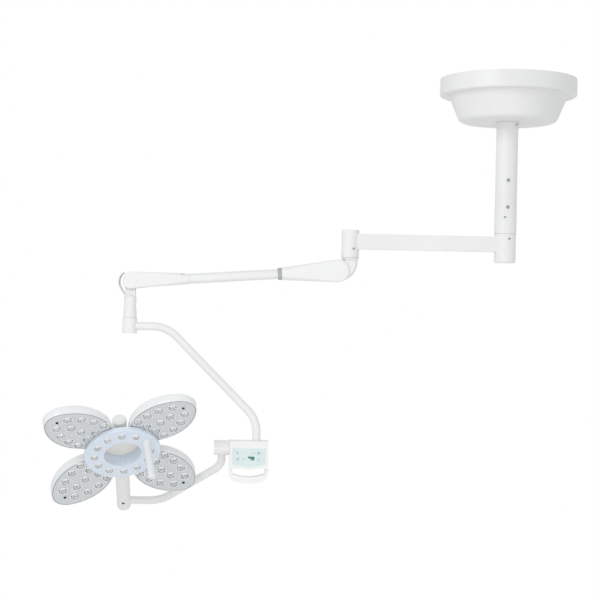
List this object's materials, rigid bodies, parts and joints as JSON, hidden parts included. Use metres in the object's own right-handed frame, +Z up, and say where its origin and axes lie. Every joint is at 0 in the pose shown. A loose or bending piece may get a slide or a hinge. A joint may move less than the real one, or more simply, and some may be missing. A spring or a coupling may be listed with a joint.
{
  "type": "dental operating light",
  "caption": "Ceiling-mounted dental operating light with a folding spring arm, looped control box and a tilting four-petal LED head with a pull-off handle.",
  "frame": {"origin": "centre of the ceiling plate's top face, on the drop tube's axis", "axes": "+Z up, the arms and head run towards -X, the lit side of the head faces -Y and down"},
  "size_m": [1.9182, 0.6198, 1.6611],
  "materials": {
    "white_paint": "semi-gloss powder coat",
    "white_plastic": "satin moulded",
    "petal_white": "gloss moulded",
    "steel": "turned",
    "dark_steel": "blackened",
    "alloy": "cast",
    "bronze": "sintered bronze",
    "grey_plastic": "matte",
    "cream_plastic": "matte",
    "board_green": "solder mask",
    "keypad_film": "printed film",
    "level_green": "clear window",
    "key_cap": "soft key",
    "seal_rubber": "matte",
    "lens_grey": "smoked clear",
    "lens_clear": "clear moulded",
    "ring_blue": "milky blue"
  },
  "bodies": {
    "ceiling_mount": {"ceiling_plate": "steel", "canopy": "white_paint", "canopy_collar": "white_paint", "power_supply": "alloy", "terminal_block": "cream_plastic", "drop_tube": "white_paint", "swivel_sleeve": "white_paint", "mount_screws": "steel", "swivel_spindle": "steel"},
    "extension": {"extension_arm": "white_paint", "arm_bushes": "bronze", "arm_caps": "white_paint", "arm_screws": "dark_steel"},
    "rear_joint": {"elbow_spindle": "steel", "rear_knuckle": "white_paint"},
    "spring_arm": {"arm_tube": "white_paint", "arm_forks": "alloy", "pivot_pins": "steel", "rear_cover": "white_plastic", "front_cover": "white_plastic", "collar_ring": "grey_plastic", "side_caps": "white_plastic", "balance_spring": "dark_steel", "spring_rod": "steel"},
    "level_link": {"link_rod": "steel"},
    "front_joint": {"front_knuckle": "white_paint", "knuckle_shell": "white_plastic", "bow_spindle": "steel"},
    "bow": {"bow_hub": "white_paint", "bow_tube": "white_paint", "box_front": "white_plastic", "box_back": "white_plastic", "control_board": "board_green", "keypad": "keypad_film", "level_window": "level_green", "tilt_shaft": "steel"},
    "lamp_switch": {"lamp_key": "key_cap"},
    "minus_switch": {"minus_key": "key_cap"},
    "plus_switch": {"plus_key": "key_cap"},
    "yoke": {"yoke_hub": "white_paint", "yoke_tube": "white_paint", "yoke_end": "white_paint", "turn_shaft": "steel", "yoke_screw": "dark_steel"},
    "head": {"head_arm": "white_paint", "head_hub": "white_paint", "petal_1": "petal_white", "petal_2": "petal_white", "petal_3": "petal_white", "petal_4": "petal_white", "petal_seals": "seal_rubber", "lens_plates": "lens_grey", "lenses": "lens_clear", "led_boards": "board_green", "petal_latches": "dark_steel", "light_ring": "ring_blue", "recess_floor": "cream_plastic", "handle_post": "white_plastic"},
    "handle": {"grip_handle": "white_plastic"}
  },
  "joints": [
    {"name": "swivel_turn", "type": "hinge", "parent": "ceiling_mount", "child": "extension", "pos_m": [0, 0, -0.62], "axis": [0, 0, 1], "range_deg": [-165, 165]},
    {"name": "elbow_turn", "type": "hinge", "parent": "extension", "child": "rear_joint", "pos_m": [-0.572, 0, -0.64], "axis": [0, 0, 1], "range_deg": [-135, 135]},
    {"name": "arm_lift", "type": "hinge", "parent": "rear_joint", "child": "spring_arm", "pos_m": [-0.615, 0, -0.718], "axis": [0, 1, 0], "range_deg": [-35, 30]},
    {"name": "link_swing", "type": "hinge", "parent": "rear_joint", "child": "level_link", "pos_m": [-0.615, 0, -0.7055], "axis": [0, 1, 0], "range_deg": [-35, 30]},
    {"name": "front_level", "type": "hinge", "parent": "spring_arm", "child": "front_joint", "pos_m": [-1.38189, 0, -0.77499], "axis": [0, 1, 0], "range_deg": [-30, 35]},
    {"name": "bow_turn", "type": "hinge", "parent": "front_joint", "child": "bow", "pos_m": [-1.38189, 0, -0.93], "axis": [0, 0, 1], "range_deg": [-165, 165]},
    {"name": "lamp_press", "type": "slide", "parent": "bow", "child": "lamp_switch", "axis": [-0.0645, 0.9979, 0], "range_m": [0, 0.0008], "stiffness_N_per_m": 800, "springref_m": -0.001},
    {"name": "minus_press", "type": "slide", "parent": "bow", "child": "minus_switch", "axis": [-0.0645, 0.9979, 0], "range_m": [0, 0.0008], "stiffness_N_per_m": 800, "springref_m": -0.001},
    {"name": "plus_press", "type": "slide", "parent": "bow", "child": "plus_switch", "axis": [-0.0645, 0.9979, 0], "range_m": [0, 0.0008], "stiffness_N_per_m": 800, "springref_m": -0.001},
    {"name": "head_tilt", "type": "hinge", "parent": "bow", "child": "yoke", "pos_m": [-1.03761, 0.02226, -1.383], "axis": [0.9979, 0.0645, 0], "range_deg": [-40, 70]},
    {"name": "head_turn", "type": "hinge", "parent": "yoke", "child": "head", "pos_m": [-1.42037, 0.22934, -1.60408], "axis": [0.0467, -0.7215, 0.6909], "range_deg": [-90, 90]},
    {"name": "handle_pull", "type": "slide", "parent": "head", "child": "handle", "axis": [0.2121, -0.6687, -0.7126], "range_m": [0, 0.06]}
  ],
  "couplings": [
    {"joint": "front_level", "follows": "arm_lift", "ratio": -1},
    {"joint": "link_swing", "follows": "arm_lift", "ratio": 1}
  ]
}
